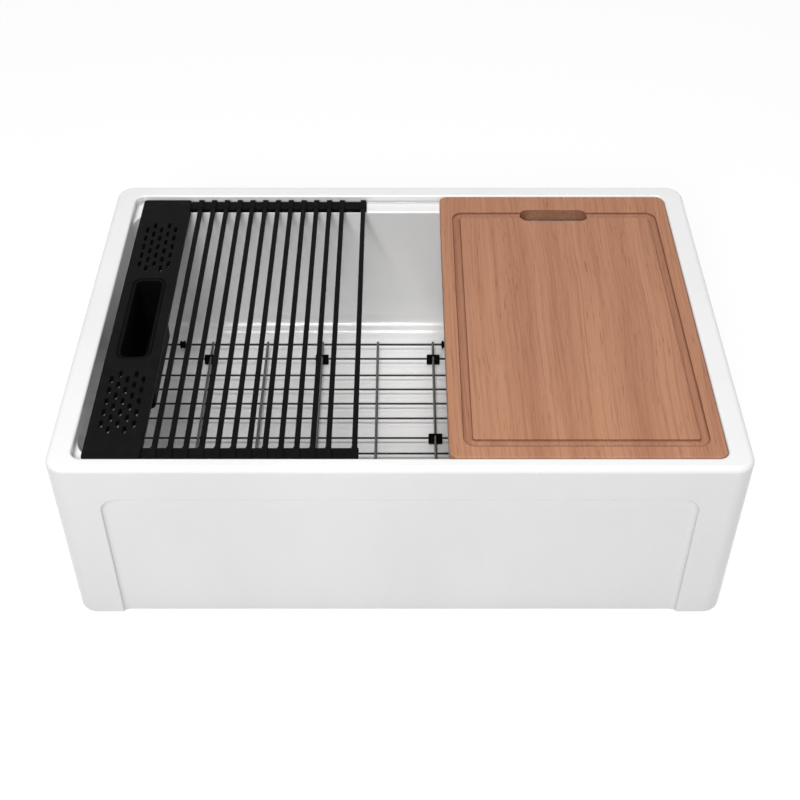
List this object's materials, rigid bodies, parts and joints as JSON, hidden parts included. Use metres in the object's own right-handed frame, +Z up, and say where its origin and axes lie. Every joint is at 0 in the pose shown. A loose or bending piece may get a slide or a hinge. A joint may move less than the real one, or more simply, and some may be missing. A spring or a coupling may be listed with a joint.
{
  "type": "farmhouse apron front sink",
  "caption": "White apron front single bowl sink with a work ledge, sliding wood cutting board, roll-up drying rack with utensil bin, wire bottom grid and basket strainer.",
  "frame": {"origin": "centre of the flat underside of the sink body", "axes": "+Z up, +X to the right, +Y to the back; the apron faces -Y"},
  "size_m": [0.762, 0.508, 0.285],
  "materials": {
    "sink_glaze": "smooth glossy white glaze over fireclay",
    "strainer_steel": "brushed",
    "strainer_rubber": "matt black",
    "strainer_fibre": "plain fibre",
    "strainer_nut": "cast and turned",
    "board_wood": "oiled reddish hardwood, grain front to back",
    "panel_black": "satin black moulding",
    "bin_black": "satin black moulding",
    "bar_black": "satin black coating on steel",
    "strip_black": "matt black silicone",
    "grid_steel": "polished wire",
    "grid_rubber": "matt black"
  },
  "bodies": {
    "sink": {"sink_body": "sink_glaze", "sink_rim": "sink_glaze", "strainer_cup": "strainer_steel", "strainer_gasket": "strainer_rubber", "strainer_friction_ring": "strainer_fibre", "strainer_locknut": "strainer_nut"},
    "basket": {"basket_cup": "strainer_steel", "basket_knob": "strainer_steel", "basket_seal": "strainer_rubber"},
    "board": {"cutting_board": "board_wood"},
    "panel": {"rack_panel": "panel_black"},
    "bin": {"utensil_bin": "bin_black"},
    "grid": {"grid_frame": "grid_steel", "grid_cross_wires": "grid_steel", "grid_long_wires": "grid_steel", "grid_drain_ring": "grid_steel", "grid_feet": "grid_rubber", "grid_bumpers": "grid_rubber"},
    "bar_01": {"rack_bar_01": "bar_black", "rack_link_01": "strip_black"},
    "bar_02": {"rack_bar_02": "bar_black", "rack_link_02": "strip_black"},
    "bar_03": {"rack_bar_03": "bar_black", "rack_link_03": "strip_black"},
    "bar_04": {"rack_bar_04": "bar_black", "rack_link_04": "strip_black"},
    "bar_05": {"rack_bar_05": "bar_black", "rack_link_05": "strip_black"},
    "bar_06": {"rack_bar_06": "bar_black", "rack_link_06": "strip_black"},
    "bar_07": {"rack_bar_07": "bar_black", "rack_link_07": "strip_black"},
    "bar_08": {"rack_bar_08": "bar_black", "rack_link_08": "strip_black"},
    "bar_09": {"rack_bar_09": "bar_black", "rack_link_09": "strip_black"},
    "bar_10": {"rack_bar_10": "bar_black", "rack_link_10": "strip_black"},
    "bar_11": {"rack_bar_11": "bar_black", "rack_link_11": "strip_black"},
    "bar_12": {"rack_bar_12": "bar_black", "rack_link_12": "strip_black"},
    "bar_13": {"rack_bar_13": "bar_black", "rack_link_13": "strip_black"}
  },
  "joints": [
    {"name": "board_slide", "type": "slide", "parent": "sink", "child": "board", "axis": [1, 0, 0], "range_m": [-0.095, 0]},
    {"name": "rack_slide", "type": "slide", "parent": "sink", "child": "panel", "axis": [1, 0, 0], "range_m": [-0.0065, 0.095]},
    {"name": "bin_lift", "type": "slide", "parent": "panel", "child": "bin", "axis": [0, 0, -1], "range_m": [-0.11, 0]},
    {"name": "grid_lift", "type": "slide", "parent": "sink", "child": "grid", "axis": [0, 0, 1], "range_m": [0, 0.085]},
    {"name": "basket_lift", "type": "slide", "parent": "sink", "child": "basket", "axis": [0, 0, 1], "range_m": [0, 0.17]},
    {"name": "roll_01", "type": "hinge", "parent": "panel", "child": "bar_01", "pos_m": [-0.2794, 0, 0.2495], "axis": [0, -1, 0], "range_deg": [0, 22]},
    {"name": "roll_02", "type": "hinge", "parent": "bar_01", "child": "bar_02", "pos_m": [-0.25772, 0, 0.2495], "axis": [0, -1, 0], "range_deg": [0, 22]},
    {"name": "roll_03", "type": "hinge", "parent": "bar_02", "child": "bar_03", "pos_m": [-0.24056, 0, 0.2495], "axis": [0, -1, 0], "range_deg": [0, 22]},
    {"name": "roll_04", "type": "hinge", "parent": "bar_03", "child": "bar_04", "pos_m": [-0.2234, 0, 0.2495], "axis": [0, -1, 0], "range_deg": [0, 22]},
    {"name": "roll_05", "type": "hinge", "parent": "bar_04", "child": "bar_05", "pos_m": [-0.20624, 0, 0.2495], "axis": [0, -1, 0], "range_deg": [0, 22]},
    {"name": "roll_06", "type": "hinge", "parent": "bar_05", "child": "bar_06", "pos_m": [-0.18908, 0, 0.2495], "axis": [0, -1, 0], "range_deg": [0, 22]},
    {"name": "roll_07", "type": "hinge", "parent": "bar_06", "child": "bar_07", "pos_m": [-0.17192, 0, 0.2495], "axis": [0, -1, 0], "range_deg": [0, 22]},
    {"name": "roll_08", "type": "hinge", "parent": "bar_07", "child": "bar_08", "pos_m": [-0.15476, 0, 0.2495], "axis": [0, -1, 0], "range_deg": [0, 22]},
    {"name": "roll_09", "type": "hinge", "parent": "bar_08", "child": "bar_09", "pos_m": [-0.1376, 0, 0.2495], "axis": [0, -1, 0], "range_deg": [0, 22]},
    {"name": "roll_10", "type": "hinge", "parent": "bar_09", "child": "bar_10", "pos_m": [-0.12044, 0, 0.2495], "axis": [0, -1, 0], "range_deg": [0, 22]},
    {"name": "roll_11", "type": "hinge", "parent": "bar_10", "child": "bar_11", "pos_m": [-0.10328, 0, 0.2495], "axis": [0, -1, 0], "range_deg": [0, 22]},
    {"name": "roll_12", "type": "hinge", "parent": "bar_11", "child": "bar_12", "pos_m": [-0.08612, 0, 0.2495], "axis": [0, -1, 0], "range_deg": [0, 22]},
    {"name": "roll_13", "type": "hinge", "parent": "bar_12", "child": "bar_13", "pos_m": [-0.06896, 0, 0.2495], "axis": [0, -1, 0], "range_deg": [0, 22]}
  ],
  "couplings": [
    {"joint": "roll_02", "follows": "roll_01", "ratio": 1},
    {"joint": "roll_03", "follows": "roll_01", "ratio": 1},
    {"joint": "roll_04", "follows": "roll_01", "ratio": 1},
    {"joint": "roll_05", "follows": "roll_01", "ratio": 1},
    {"joint": "roll_06", "follows": "roll_01", "ratio": 1},
    {"joint": "roll_07", "follows": "roll_01", "ratio": 1},
    {"joint": "roll_08", "follows": "roll_01", "ratio": 1},
    {"joint": "roll_09", "follows": "roll_01", "ratio": 1},
    {"joint": "roll_10", "follows": "roll_01", "ratio": 1},
    {"joint": "roll_11", "follows": "roll_01", "ratio": 1},
    {"joint": "roll_12", "follows": "roll_01", "ratio": 1},
    {"joint": "roll_13", "follows": "roll_01", "ratio": 1}
  ]
}
